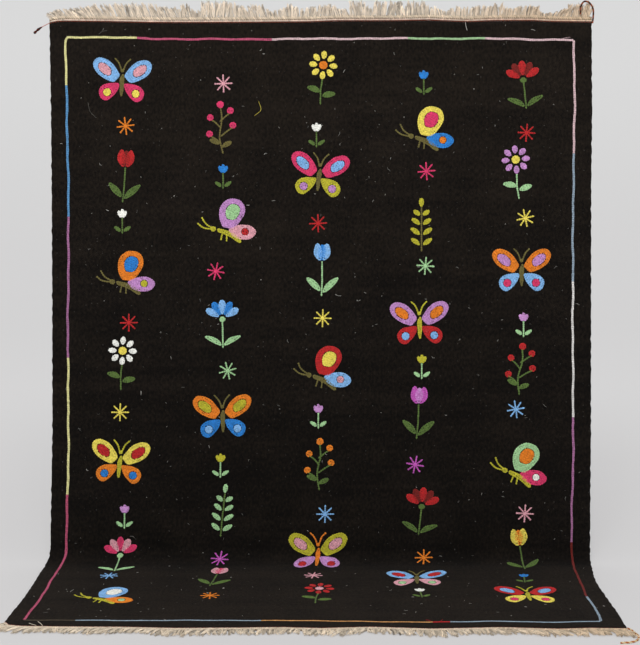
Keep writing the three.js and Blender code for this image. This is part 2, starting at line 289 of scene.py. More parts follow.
# a smooth route through a few points, cut into even steps: a centripetal spline
def smoothRoute(points, steps):
    points = np.array(points, float)
    spread = np.concatenate([[2 * points[0] - points[1]], points, [2 * points[-1] - points[-2]]])
    knots = np.concatenate([[0], np.cumsum(np.linalg.norm(np.diff(spread, axis=0), axis=1) ** 0.5)])
    found = []
    for first in range(len(points) - 1):
        near, at = spread[first:first + 4], knots[first:first + 4]
        t = np.linspace(at[1], at[2], 40, endpoint=False)[:, None]
        for spans in (((0, 1), (1, 2), (2, 3)), ((0, 2), (1, 3)), ((1, 2),)):
            near = [
                a + (b - a) * (t - at[low]) / (at[high] - at[low])
                for a, b, (low, high) in zip(near, near[1:], spans)
            ]
        found.append(near[0])
    return evenly(np.concatenate(found + [points[-1:]]), steps)


def lengthAlong(line):
    return np.concatenate([[0], np.cumsum(np.linalg.norm(np.diff(line, axis=0), axis=1))])


def evenly(line, steps):
    walked = lengthAlong(line)
    stops = np.linspace(0, walked[-1], steps + 1)
    return np.stack([np.interp(stops, walked, line[:, k]) for k in range(line.shape[1])], -1)


# the plies of a twisted cord, wound round its middle line
def plies(route, offset, pitch, facing, count=2):
    along = unit(np.gradient(route, axis=0))
    first = unit(np.cross(np.broadcast_to(facing, along.shape), along))
    second = np.cross(along, first)
    turn = 2 * math.pi * lengthAlong(route) / pitch
    wound = []
    for ply in range(count):
        angle = (turn + 2 * math.pi * ply / count)[:, None]
        reach = np.reshape(offset, (-1, 1))
        wound.append(route + reach * (np.cos(angle) * first + np.sin(angle) * second))
    return np.array(wound)


# colours as seen in the photo, 0 to 255, made into paint for this scene's light
def paint(red, green, blue, light=0.92):
    shares = np.array([red, green, blue]) / 255
    linear = np.where(shares < 0.04045, shares / 12.92, ((shares + 0.055) / 1.055) ** 2.4)
    return np.minimum(linear / light, 0.9)


# materials

# wraps a socket, so that shader maths reads as sums
class Flow:
    def __init__(self, tree, socket=None):
        self.tree = tree
        self.socket = socket

    def node(self, kind, settings=None, inputs=None, output=0):
        made = self.tree.nodes.new("ShaderNode" + kind)
        for key, value in (settings or {}).items():
            setattr(made, key, value)
        for key, value in (inputs or {}).items():
            if isinstance(value, Flow):
                self.tree.links.new(value.socket, made.inputs[key])
            else:
                made.inputs[key].default_value = value
        return Flow(self.tree, made.outputs[output] if len(made.outputs) else None)

    def other(self, output):
        return Flow(self.tree, self.socket.node.outputs[output])

    def maths(self, operation, *values):
        return self.node("Math", {"operation": operation}, dict(enumerate(values)))

    def __add__(self, other):
        return self.maths("ADD", self, other)

    def __sub__(self, other):
        return self.maths("SUBTRACT", self, other)

    def __mul__(self, other):
        return self.maths("MULTIPLY", self, other)

    def cosine(self):
        return self.maths("COSINE", self)

    def noise(self, place, scale, detail=2.0):
        sizes = {"Vector": place, "Scale": scale, "Detail": detail}
        return self.node("TexNoise", {"noise_dimensions": "3D"}, sizes)

    def ranged(self, value, low, high, least=0.0, most=1.0):
        sizes = {"Value": value, "From Min": low, "From Max": high, "To Min": least, "To Max": most}
        return self.node("MapRange", {"interpolation_type": "SMOOTHSTEP"}, sizes)

    def stretched(self, vector, scale):
        return self.node("VectorMath", {"operation": "MULTIPLY"}, {0: vector, 1: scale})

    def tinted(self, colour, amount):
        return self.node("VectorMath", {"operation": "SCALE"}, {0: colour, 3: amount})

    def mixed(self, share, first, second):
        return self.node(
            "Mix", {"data_type": "RGBA"}, {0: share, 6: first, 7: second}, output=2,
        )


def startMaterial(name):
    material = bpy.data.materials.new(name)
    material.use_nodes = True
    material.node_tree.nodes.clear()
    return material, Flow(material.node_tree)


def finishMaterial(flow, colour, height, sizes):
    relief = flow.node("Bump", inputs={
        "Strength": sizes["bump"], "Distance": sizes["relief"], "Height": height,
    })
    shader = flow.node("BsdfPrincipled", inputs={
        "Base Color": colour, "Roughness": sizes["roughness"], "Normal": relief,
        "Sheen Weight": sizes["sheen"], "Sheen Roughness": 0.5,
        "Specular IOR Level": sizes["specular"],
    })
    flow.node("OutputMaterial", inputs={"Surface": shader})


blackWool = {
    "deep": (0.0068, 0.0058, 0.0053, 1),
    # the dusty colour, which also holds the painted light on the top and on the part lying on the floor
    "dustyAndLit": (0.0262, 0.0198, 0.0148, 1),
    "lint": (0.15, 0.14, 0.13, 1),
    "lintCells": 62.0, "lintReach": 0.075, "lintShare": 0.55, "lintRim": (0.0022, 0.0022, 0),
    # how fine each pattern is across and down the cloth
    "fibres": (500, 1100, 1), "mottles": (150, 90, 1), "streaks": (0.8, 24, 1), "clouds": 9.0,
    "ribHigh": 0.45, "pickHigh": 0.3, "fibreHigh": 0.7,
    # how much dustier each pattern makes it, and how much is taken off
    "cloudy": 0.8, "mottled": 1.7, "streaky": 0.7, "fuzzy": 0.9, "ribs": 0.16, "picks": 0.12, "less": 1.88,
    # painted light: how much lighter the top is, where light from above falls, and the part lying on the
    # floor, where light from above and grazing sheen fall; and from where to where down the cloth each
    # grows
    "paintedTopLight": 0.26, "paintedTopLightSpan": (1.3, 0.0), "paintedFloorLight": 0.46, "paintedFloorLightSpan": (1.49, 1.62),
    "rib": 0.0028,  # one warp's width
    "pick": 0.0013,
    "bump": 0.9, "relief": 0.0009, "roughness": 0.94, "sheen": 0.015, "specular": 0.02,
}


def makeBlackWool(sizes):
    material, flow = startMaterial("black_wool_weave")
    place = flow.node("UVMap", {"uv_map": "weave"})
    across = flow.node("SeparateXYZ", inputs={0: place})
    down = across.other(1)
    warp = across * (1 / sizes["rib"])
    ribs = (warp * (2 * math.pi)).cosine()
    halfStep = warp.maths("FLOOR", warp) * 0.5
    picks = ((down * (1 / sizes["pick"]) + halfStep) * (2 * math.pi)).cosine()
    fibre = flow.noise(flow.stretched(place, sizes["fibres"]), 1.0)
    height = ribs * sizes["ribHigh"] + picks * sizes["pickHigh"] + fibre * sizes["fibreHigh"]
    clouds = flow.noise(place, sizes["clouds"], 4.0)
    mottles = flow.noise(flow.stretched(place, sizes["mottles"]), 1.0, 4.0)
    streaks = flow.noise(flow.stretched(place, sizes["streaks"]), 1.0, 3.0)
    share = clouds * sizes["cloudy"] + mottles * sizes["mottled"] + streaks * sizes["streaky"]
    share = share + fibre * sizes["fuzzy"] + ribs * sizes["ribs"] + picks * sizes["picks"] - sizes["less"]
    # painted light: lighter towards the top and on the part lying on the floor, put into the colour itself
    share = share + flow.ranged(down, *sizes["paintedTopLightSpan"], 0.0, sizes["paintedTopLight"])
    share = share + flow.ranged(down, *sizes["paintedFloorLightSpan"], 0.0, sizes["paintedFloorLight"])
    ground = flow.mixed(share.maths("MAXIMUM", share, 0.0), sizes["deep"], sizes["dustyAndLit"])
    # specks of lint with ragged rims, most of them small
    ragged = flow.node("VectorMath", {"operation": "MULTIPLY_ADD"}, {
        0: flow.noise(place, 420.0).other(1), 1: sizes["lintRim"], 2: place,
    })
    speck = flow.node("TexVoronoi", {"voronoi_dimensions": "2D"}, {
        "Vector": ragged, "Scale": sizes["lintCells"],
    })
    chance = flow.node("SeparateColor", inputs={0: speck.other(1)})
    chance = chance * chance * chance
    lint = speck.maths("LESS_THAN", speck, chance * chance * sizes["lintReach"])
    finishMaterial(flow, flow.mixed(lint * sizes["lintShare"], ground, sizes["lint"]), height, sizes)
    return material


# any yarn whose colour is on its mesh: yarn is its dye, tone how light this strand is, random tone and, in
# the fringes, painted shade
def makeYarn(name, sizes):
    material, flow = startMaterial(name)
    dye = flow.node("Attribute", {"attribute_name": "yarn"})
    tone = flow.node("Attribute", {"attribute_name": "tone"}, output=2)
    place = flow.node("TexCoord", output=3)
    fibre = flow.noise(place, sizes["fibre"], 3.0)
    patch = flow.noise(place, sizes["patch"], 2.0)
    level = tone * (fibre * sizes["fibreTone"] + patch * sizes["patchTone"]
                    + (1 - 0.5 * sizes["fibreTone"] - 0.5 * sizes["patchTone"]))
    finishMaterial(flow, flow.tinted(dye, level), fibre, sizes)
    return material


yarnLook = {
    "fibreTone": 0.5, "patchTone": 0.2, "bump": 0.5, "relief": 0.0005, "sheen": 0.05, "specular": 0.2,
}
woolFinish = makeYarn("embroidery_wool", {
    **yarnLook, "fibre": 1400.0, "patch": 60.0, "patchTone": 0.25, "roughness": 0.85, "sheen": 0.08,
})
cottonFinish = makeYarn("fringe_cotton", {
    **yarnLook, "fibre": 1100.0, "patch": 25.0, "fibreTone": 0.35, "roughness": 0.9, "specular": 0.15,
})
twistFinish = makeYarn("twisted_cord_yarn", {
    **yarnLook, "fibre": 1300.0, "patch": 40.0, "relief": 0.0004, "roughness": 0.8,
})
blackWoolFinish = makeBlackWool(blackWool)
print("materials made")

# corner cords

cordYarn = {
    "rust": paint(140, 70, 40), "darkRust": paint(84, 28, 16), "brick": paint(128, 58, 34),
    "black": paint(34, 22, 18), "orange": paint(166, 96, 50), "cream": paint(206, 186, 146),
    "pink": paint(190, 140, 135),
}
# four plies, how far out and how thick each is, in diameters of the cord
cordPlies = {"out": 0.30, "radius": 0.28}


def cornerCord(name, stops, sizes, facing, colours):
    steps = sizes["steps"]
    route = smoothRoute(stops, steps)
    thick = sizes["diameter"] * column(sizes["swell"], np.linspace(0, 1, steps + 1))
    paths = plies(route, cordPlies["out"] * thick, sizes["pitch"], facing, 4)
    radii = np.tile(cordPlies["radius"] * thick, (4, 1))
    dyesAlong = colours(steps)[[0, 0, 1, 1]]
    piece = yarnsAlong(f"{name}_yarns", paths, radii, facing, twistFinish, dyesAlong, sides=6)
    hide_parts(name)


def twoColours(first, second):
    return lambda steps: np.array([[cordYarn[first]] * (steps + 1), [cordYarn[second]] * (steps + 1)])


# thin and pinkish for a start, then dark where it is knotted
def knottedColours(steps):
    dark = smooth(np.linspace(0, 1, steps + 1), 0.4, 0.5)[:, None]
    rows = [(1 - dark) * cordYarn["pink"] + dark * cordYarn[end] for end in ("darkRust", "black")]
    return np.array(rows)


# stops beside the end of the top edge: across, rise above it, lift off the hanging plane
def onTopEdge(stops, side):
    sag = column(topSags, side)
    lines = [(sag - rise) * wallDown + lift * wallFront + (across, 0, 0) for across, rise, lift in stops]
    return np.array(lines)


topRightStops = onTopEdge([
    (0.7606, -0.001, 0.002), (0.7616, 0.008, 0.0028), (0.7622, 0.022, 0.0054),
    (0.761, 0.035, 0.009), (0.755, 0.047, 0.012), (0.745, 0.0555, 0.0135),
    (0.7345, 0.056, 0.014), (0.727, 0.047, 0.014), (0.7245, 0.035, 0.014), (0.724, 0.021, 0.013),
], 1)
topLeftStops = onTopEdge([
    (-0.7608, 0.002, 0.0018), (-0.767, -0.001, 0.0024), (-0.778, -0.007, 0.0035),
    (-0.791, -0.016, 0.005), (-0.803, -0.027, 0.0055),
], -1)
lowerCorner = forwardPoint(1, 0, 0.0022)
bottomRightStops = np.array([lowerCorner + (across, -reach, 0) for across, reach in [
    (0.0013, 0.0008), (0.0056, 0.0054), (0.0088, 0.013), (0.0114, 0.024), (0.014, 0.038),
    (0.014, 0.054), (0.0075, 0.073), (-0.005, 0.0845), (-0.021, 0.0895), (-0.037, 0.091),
]])

evenCord = {"diameter": 0.0044, "pitch": 0.016, "steps": 130, "swell": [(0, 1), (1, 1)]}
knottedCord = {
    "diameter": 0.0036, "pitch": 0.009, "steps": 80,
    "swell": [
        (0, 0.6), (0.42, 0.6), (0.5, 1.1), (0.62, 1.5), (0.7, 1.9), (0.8, 1.2), (0.9, 1.9), (0.97, 1.7),
        (1, 0.7),
    ],
}
rustAndBlack, orangeAndCream = twoColours("rust", "black"), twoColours("orange", "cream")
cornerCord("corner_cord_top_right", topRightStops, evenCord, wallFront, rustAndBlack)
cornerCord("corner_cord_top_left", topLeftStops, knottedCord, wallFront, knottedColours)
cornerCord("corner_cord_bottom_right", bottomRightStops, evenCord, up, orangeAndCream)
print("corner cords made")

# cloth

clothCuts = {
    "columns": 96,
    # rows so far, and how far down the cloth they reach
    "rows": [(0, 0), (120, 1.46), (146, 1.564), (182, 1)],
    "roughEdge": 0.0006,
}


def makeCloth(cuts):
    rows = cuts["rows"][-1][0]
    shape = bmesh.new()
    bmesh.ops.create_grid(shape, x_segments=cuts["columns"], y_segments=rows, size=1)
    bmesh.ops.solidify(shape, geom=shape.faces[:], thickness=1)
    points = pointsOf(shape)
    side = np.sin(points[:, 0] * math.pi / 2)
    layer = (points[:, 2] - points[:, 2].min()) / np.ptp(points[:, 2])
    row = (1 - points[:, 1]) / 2 * rows
    reached, depth = np.array(cuts["rows"]).T
    down = np.interp(row, reached[:-1], depth[:-1])
    # the last rows share out what is left, which differs from side to side
    onFloor = (row - reached[-2]) / (rows - reached[-2])
    down = np.where(onFloor > 0, depth[-2] + onFloor * (column(clothLengths, side) - depth[-2]), down)
    down = down + column(topSags, side) * np.exp(-down / cloth["sagReach"])
    wobble = np.sin(down * 310) + np.sin(down * 173 + 2 * side) + 0.7 * np.sin(down * 620 + 1)
    placed = clothPoint(side, down, layer * cloth["thickness"])
    placed[:, 0] += cuts["roughEdge"] * wobble * smooth(np.abs(side), 0.985, 1)
    weave = shape.loops.layers.uv.new("weave")
    for face in shape.faces:
        face.smooth = True
        for loop in face.loops:
            at = loop.vert.index
            loop[weave].uv = (cloth["halfWidth"] * (side[at] + 1), down[at])
    for vert, point in zip(shape.verts, placed):
        vert.co = point
    bmesh.ops.recalc_face_normals(shape, faces=shape.faces)
    piece = objectFrom(shape, "kilim_weave", blackWoolFinish)
    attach(piece, "root")
    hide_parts("kilim_cloth")
    return piece


clothPiece = makeCloth(clothCuts)
print("cloth made")

# twined lines and braided bands along both ends

ends = {
    "top": {"place": abovePoint, "facing": wallFront},
    "bottom": {"place": forwardPoint, "facing": up},
}

twining = {
    "out": 0.0017, "lift": 0.0019, "radius": 0.0013, "offset": 0.0006, "pitch": 0.0076, "steps": 1080,
}
band = {
    "out": 0.0032, "height": 0.014,
    "base": 0.0026, "baseShare": 0.94,  # the strip's thickness, and its share of the height
    "swell": 0.0019,
    # how far out a row's middle is, its lumps' half length, half width, slant, lift, spacing and dye
    "rows": [
        {"middle": 0.0054, "half": 0.0022, "wide": 0.72, "slant": 0.5, "lift": 0.0023, "spacing": 0.0050,
         "dye": paint(216, 196, 180)},
        {"middle": 0.0122, "half": 0.0050, "wide": 0.50, "slant": -0.75, "lift": 0.0038, "spacing": 0.0056,
         "dye": paint(212, 195, 172)},
    ],
    "dye": paint(132, 114, 94),
}


def makeTwining(end):
    sizes, facing = twining, ends[end]["facing"]
    route = ends[end]["place"](np.linspace(-1, 1, sizes["steps"] + 1), sizes["out"], sizes["lift"])
    paths = plies(route, sizes["offset"], sizes["pitch"], facing)
    colours, name = twoColours("brick", "black")(sizes["steps"]), f"{end}_twined_line"
    piece = yarnsAlong(name, paths, sizes["radius"], facing, twistFinish, colours, sides=5)
    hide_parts(f"{end}_twining")
    return piece


cottonBrown = {"starts": 0.35, "full": 0.95, "less": (0.10, 0.17, 0.25)}


# cotton is browner near the right corners; middle runs from -1 to 1 across the rug
def cottonDye(dye, middle):
    brown = smooth(middle, cottonBrown["starts"], cottonBrown["full"])[:, None] * cottonBrown["less"]
    return dye * (1 - brown)


def lumpShape():
    shape = newShape()
    bmesh.ops.create_uvsphere(shape, u_segments=6, v_segments=4, radius=1, calc_uvs=True)
    bmesh.ops.rotate(shape, verts=shape.verts, matrix=Matrix.Rotation(math.pi / 2, 3, "X"))
    return shape


# slanted lumps of a braid, on a thin strip
def makeBand(end):
    place = ends[end]["place"]
    strip = newShape()
    bmesh.ops.create_cube(strip, size=1, calc_uvs=True)
    longways = [e for e in strip.edges if abs(e.verts[0].co.x - e.verts[1].co.x) > 0.5]
    bmesh.ops.subdivide_edges(strip, edges=longways, cuts=199)
    box = pointsOf(strip)
    out = band["out"] + band["height"] * (0.5 + band["baseShare"] * box[:, 1])
    placed = place(2 * box[:, 0], out, band["base"] * (box[:, 2] + 0.5))
    pieces = [joinedCopies(f"{end}_band_strip", strip, placed[None], cottonFinish, band["dye"], 0.9)]
    lump, places, colours, tones = lumpShape(), [], [], []
    form = pointsOf(lump)
    for row in band["rows"]:
        count = int(2 * cloth["halfWidth"] / row["spacing"])
        middle = -1 + (np.arange(count) + 0.5) * 2 / count
        middle = middle + dice.normal(0, 0.0003, count)
        size = 1 + dice.normal(0, 0.09, (count, 1))
        acrossLump = form[:, 0] * row["spacing"] * row["wide"] + form[:, 1] * row["half"] * row["slant"]
        side = np.clip(middle[:, None] + acrossLump / cloth["halfWidth"], -1, 1)
        outward = row["middle"] + form[:, 1] * row["half"] * size
        places.append(place(side, outward, row["lift"] + form[:, 2] * band["swell"] * size))
        colours.append(cottonDye(row["dye"], middle))
        tones.append(1 + dice.normal(0, 0.13, count))
    tones, colours = np.concatenate(tones)[:, None], np.concatenate(colours)[:, None, :]
    name = f"{end}_braided_band"
    pieces.append(joinedCopies(name, lump, np.concatenate(places), cottonFinish, colours, tones))
    return pieces


twinedLines = [makeTwining(end) for end in ends]
bands = {end: makeBand(end) for end in ends}
print("bands made")

# fringes

fringe = {
    "tufts": 230,  # in each of two layers
    "strands": 7,  # in a tuft
    "steps": 6,
    "root": 0.0120,  # out from the cloth's edge
    "ends": {"top": (-0.990, 0.988), "bottom": (-0.998, 0.994)},
    "radius": 0.00098, "tuftRadius": 0.0015,
    "stray": {"top": 10, "bottom": 17},  # how far tufts lean each its own way, in degrees
    "shadedBackTone": 0.66, "frontTone": 0.38,  # painted shade: the back layer is darker; the front layer adds its tone to the back one's
    "curl": 0.0035, "mostCurl": 0.0072, "crook": 0.20,
    "frontLift": {"top": 0.0022, "bottom": 0.0034}, "hump": 0.002,
    "dye": {"top": paint(222, 209, 192), "bottom": paint(217, 203, 183)},
}

# millimetres across the rug, height above the band, lean to the right in degrees
topFringe = [
    (-760, 10, -40), (-743, 14, -54), (-704, 18, -50), (-619, 27, -40), (-563, 30, -30),
    (-507, 31, -25), (-465, 31, -20), (-409, 24, -22), (-367, 32, -4), (-345, 9, 0), (-331, 39, 0),
    (-289, 34, -3), (-269, 38, -5), (-227, 28, -8), (-199, 22, -15), (-165, 32, -20), (-143, 16, -12),
    (-123, 13, -8), (-95, 22, -4), (-81, 32, 0), (-64, 20, 0), (-50, 18, 8), (-30, 21, 15),
    (-2, 24, 10), (29, 27, -15), (54, 22, -25), (76, 13, -30), (90, 32, -5), (110, 35, 0), (124, 32, 0),
    (132, 16, 4), (149, 31, 10), (194, 32, 5), (236, 32, -5), (264, 33, -5), (306, 25, -12),
    (326, 18, -14), (340, 14, -8), (354, 10, -4), (368, 16, 0), (382, 25, 4), (402, 20, 8),
    (418, 23, 15), (446, 24, 20), (480, 25, 10), (497, 31, 0), (517, 19, 4), (536, 15, 6),
    (550, 21, 10), (581, 24, 20), (601, 20, 12), (615, 13, -20), (626, 4, -4), (648, 9, 12),
    (657, 16, 34), (679, 23, 30), (696, 29, 24), (721, 28, 14), (741, 34, 5), (758, 32, 0),
    (762, 25, 0),
]

# the same for the lower fringe, which lies on the floor
bottomFringe = [
    (-776, 23, -52), (-715, 28, -44), (-690, 23, -34), (-665, 27, -26), (-640, 20, -26),
    (-560, 25, -24), (-522, 32, -20), (-470, 21, -22), (-400, 22, -14), (-330, 33, -18),
    (-270, 30, -12), (-225, 21, -8), (-160, 27, 6), (-110, 26, -4), (-55, 21, -6), (10, 27, -14),
    (75, 32, -16), (120, 24, 0), (177, 21, 12), (240, 29, 14), (310, 32, 14), (360, 23, 10),
    (430, 26, 20), (500, 21, 22), (556, 31, 24), (610, 26, 20), (650, 32, 22), (685, 25, 24),
    (720, 30, 22), (744, 38, 16),
]


def makeFringe(end, table):
    sizes, place = fringe, ends[end]["place"]
    tufts = 2 * sizes["tufts"]
    strand = np.tile(np.arange(sizes["strands"]), tufts)
    front = np.arange(tufts) % 2  # every second tuft lies in the front layer
    middle = -1 + (np.arange(tufts) + 0.5) * 2 / tufts + dice.normal(0, 0.0009, tufts)
    middle = np.clip(middle, *sizes["ends"][end])
    across = 1000 * cloth["halfWidth"] * middle
    tall = 0.001 * column(table, across, 1) * np.clip(1 + dice.normal(0, 0.13, tufts), 0.6, 1.22)
    lean = column(table, across, 2) + dice.normal(0, sizes["stray"][end], tufts)
    # painted shade: tufts of the back layer darker than those in front; the rest is random tone
    tone = (sizes["shadedBackTone"] + sizes["frontTone"] * front) * (1 + dice.normal(0, 0.13, tufts))
    curl = dice.normal(sizes["curl"], 0.0018, tufts).clip(0, sizes["mostCurl"])

    middle, tall, lean, tone, curl, front = [
        np.repeat(values, sizes["strands"])[:, None] for values in (middle, tall, lean, tone, curl, front)
    ]
    count = len(middle)
    share = np.linspace(0, 1, sizes["steps"] + 1)
    # where a strand lies in its tuft, winding round it a little, and splaying at its tip
    ring = np.where(strand == 0, 0.15, 1.0)[:, None] * sizes["tuftRadius"] * (0.75 + 0.55 * share ** 2)
    angle = (2 * math.pi * strand / (sizes["strands"] - 1) + dice.normal(0, 0.25, count))[:, None]
    angle = angle + dice.normal(1.3, 0.5, (count, 1)) * share
    lean = np.radians(lean + dice.normal(0, 3.0, (count, 1)))
    crook, start = dice.normal(0, sizes["crook"], (count, 1)), dice.uniform(-0.6, 0.6, (count, 1))
    bent = lean * (0.6 + 0.4 * share) + crook * np.sin(share * math.pi * 1.9 + start)
    tall = tall * (1 + dice.normal(0, 0.07, (count, 1)))
    # a leaning strand is longer, and each starts behind the band
    reach = tall / np.cos(np.minimum(np.radians(35), np.abs(lean)) * 0.8)
    step = (band["out"] + band["height"] - sizes["root"] + reach) / sizes["steps"]
    still = np.zeros((count, 1))
    sideways, outward = [
        np.concatenate([still, np.cumsum(step * part(bent[:, 1:]), 1)], 1) for part in (np.sin, np.cos)
    ]
    sideways = sideways + ring * np.cos(angle) * np.cos(bent)
    outward = sizes["root"] + outward - ring * np.cos(angle) * np.sin(bent)
    lift = sizes["radius"] + sizes["tuftRadius"] * 0.8 + ring * np.sin(angle) * 0.8
    if end == "top":
        lift = lift + sizes["frontLift"][end] * front * share ** 0.5 + curl * share ** 2
    else:
        hump = dice.uniform(0, sizes["hump"], (count, 1)) * np.sin(share * math.pi)
        lift = lift + sizes["frontLift"][end] * front * 1.6 * share * (1 - 0.75 * share) + hump
    paths = place(middle, outward, lift)
    paths[..., 0] += sideways
    slim = 1 + dice.normal(0, 0.1, (count, 1))
    radii = sizes["radius"] * slim * np.interp(share, [0, 0.3, 0.85, 1], [0.95, 1, 1, 0.72])
    # painted shade: strands darker towards their roots under the band, a little lighter at the tips; the
    # rest is random tone
    tone = tone * (1 + dice.normal(0, 0.10, (count, 1))) * np.interp(share, [0, 0.25, 1], [0.8, 1, 1.04])
    piece = yarnsAlong(
        f"{end}_fringe_yarns", paths, radii, ends[end]["facing"], cottonFinish,
        cottonDye(sizes["dye"][end], middle[:, 0])[:, None], tone,
    )
    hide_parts(f"{end}_fringe")
    return piece


fringes = [makeFringe("top", topFringe), makeFringe("bottom", bottomFringe)]
print("fringes made")

# embroidery

yarnShades = {
    "purple": (179, 130, 183), "yellow": (214, 198, 84), "mint": (151, 190, 140),
    "pink": (205, 150, 160), "magenta": (200, 52, 98), "red": (172, 32, 34), "orange": (208, 118, 30),
    "olive": (100, 92, 47), "leaf": (81, 104, 48), "lime": (172, 166, 44), "blue": (38, 118, 190),
    "sky": (122, 168, 212), "orchid": (182, 84, 172), "white": (226, 222, 214), "maroon": (112, 26, 22),
    # the border line's own yarns
    "straw": (208, 203, 144), "rose": (176, 78, 108), "shell": (200, 172, 176), "sage": (150, 182, 138),
    "smoke": (136, 152, 166), "steel": (84, 138, 182), "mauve": (156, 102, 142), "brick": (106, 25, 20),
    "bark": (70, 62, 50), "copper": (186, 136, 84), "chalk": (206, 203, 200),
}
dyes = {name: paint(*shade, light=0.80) for name, shade in yarnShades.items()}
stitch = {
    "length": 0.0062, "width": 0.0044, "height": 0.0012,
    "row": 0.0034,  # from one row of a filling to the next
    "edge": 0.0020,  # the outline row stands this far in
    "inside": 0.0041,  # the filling starts this far in
    "shortest": 0.002,  # of a filling's row
    "uneven": 0.00026, "behind": 0.0002,
}
sewn = {}  # per piece, one row a stitch: across, down, to across, to down, dye, width


def sewRow(piece, line, dye, width=1.0):
    line = np.asarray(line, float)
    total = lengthAlong(line)[-1]
    if total < 0.5 * stitch["length"]:
        return
    even = evenly(line, max(1, round(total / stitch["length"])))
    even[1:-1] += dice.normal(0, stitch["uneven"], even[1:-1].shape)
    for start, stop in zip(even[:-1], even[1:]):
        sewn.setdefault(piece, []).append((*start, *stop, *dyes[dye], width))


# an outline moved in by some distance, without the bits that fold over
def movedIn(outline, distance):
    following, before = np.roll(outline, -1, 0), np.roll(outline, 1, 0)
    area = np.sum(outline[:, 0] * following[:, 1] - following[:, 0] * outline[:, 1])
    along = unit(following - before + 1e-12)
    inward = np.stack([-along[:, 1], along[:, 0]], -1) * np.sign(area)
    moved = outline + inward * distance
    span = following - outline
    reach = moved[:, None] - outline[None]
    share = np.clip(np.sum(reach * span, -1) / np.maximum(np.sum(span * span, -1), 1e-12), 0, 1)
    near = np.linalg.norm(reach - share[..., None] * span, axis=-1).min(1)
    return moved[near > 0.93 * abs(distance)]


# where lines along x meet the outlines, as pairs of in and out
def crossings(outlines, height):
    found = []
    for outline in outlines:
        a, b = outline, np.roll(outline, -1, 0)
        meets = (a[:, 1] > height) != (b[:, 1] > height)
        share = (height - a[meets, 1]) / (b[meets, 1] - a[meets, 1])
        found += list(a[meets, 0] + share * (b[meets, 0] - a[meets, 0]))
    found.sort()
    return list(zip(found[0::2], found[1::2]))


def sewFilled(piece, outline, dye, *holes):
    edge = movedIn(outline, stitch["edge"])
    if len(edge) > 4:
        sewRow(piece, np.concatenate([edge, edge[:1]]), dye)
    inside = movedIn(outline, stitch["inside"])
    if len(inside) < 5:
        return
    spread = inside - inside.mean(0)
    longest = np.linalg.eigh(spread.T @ spread)[1][:, -1]
    turn = np.array([[longest[0], longest[1]], [-longest[1], longest[0]]])
    turned = [inside @ turn.T] + [movedIn(hole, -0.6 * stitch["edge"]) @ turn.T for hole in holes]
    low, high = turned[0][:, 1].min(), turned[0][:, 1].max()
    rows = max(1, round((high - low) / stitch["row"]) + 1)
    heights = np.linspace(low, high, rows) if rows > 2 else np.linspace(low, high, rows + 2)[1:-1]
    for height in np.clip(heights, low + 2e-4, high - 2e-4):
        for start, stop in crossings(turned, height):
            if stop - start > stitch["shortest"]:
                sewRow(piece, np.array([(start, height), (stop, height)]) @ turn, dye)


# outlines and lines of the motifs, in millimetres, the foot at 0, 0 and up along y

def rounded(points, closed=True):
    points = np.array(points, float)
    if closed:
        ring = np.concatenate([points[-1:], points, points[:2]])
        return smoothRoute(ring, 10 * len(ring))[10:-20]
    return smoothRoute(points, 6 * len(points))


def petal(length, width, turn=0.0, foot=(0, 0), curl=0.0, fullness=1.0):
    share = np.linspace(0, 1, 11)
    half = width / 2 * np.sin(math.pi * share ** fullness)
    bend = curl * length * share ** 2
    left = np.stack([bend - half, share * length], -1)
    right = np.stack([bend + half, share * length], -1)[1:-1][::-1]
    return turnedBy(np.concatenate([left, right]), turn) + foot


def turnedBy(points, degrees):
    angle = math.radians(degrees)
    spin = np.array([[math.cos(angle), math.sin(angle)], [-math.sin(angle), math.cos(angle)]])
    return np.asarray(points, float) @ spin.T


def disc(x, y, radius):
    angle = np.linspace(0, 2 * math.pi, 18, endpoint=False)
    return np.stack([x + radius * np.cos(angle), y + radius * np.sin(angle)], -1)


def mirrored(points):
    return np.asarray(points, float)[::-1] * (-1, 1)


# parts of a motif: how it is sewn, which of the motif's yarns it takes, its outline and any holes
def drawn(yarn, line):
    return sewRow, yarn, [line]


def filled(yarn, outline, *holes):
    return sewFilled, yarn, [outline, *holes]


def petals(yarn, *rows):
    return [filled(yarn, petal(*row)) for row in rows]


def butterfly():
    upper = rounded([(4, 50), (14, 74), (36, 96), (62, 101), (74, 88), (66, 66), (44, 50), (16, 42)])
    spot = rounded([(26, 68), (42, 86), (58, 88), (60, 76), (46, 62), (32, 58)])
    lower = rounded([(4, 38), (22, 40), (46, 34), (57, 20), (52, 2), (38, -5), (22, 6), (10, 22)])
    dot = disc(36, 16, 10)
    body = rounded([(0, 70), (5, 60), (5.5, 36), (3, 12), (0, 2), (-3, 12), (-5.5, 36), (-5, 60)])
    feeler = rounded([(2, 72), (9, 90), (20, 102)], closed=False)
    parts = []
    for side in (np.asarray, mirrored):
        parts += [
            filled(0, side(upper), side(spot)), filled(1, side(spot)),
            filled(2, side(lower), side(dot)), filled(3, side(dot)), drawn(4, side(feeler)),
        ]
    return parts + [filled(4, body), filled(4, disc(0, 72, 5.5))]


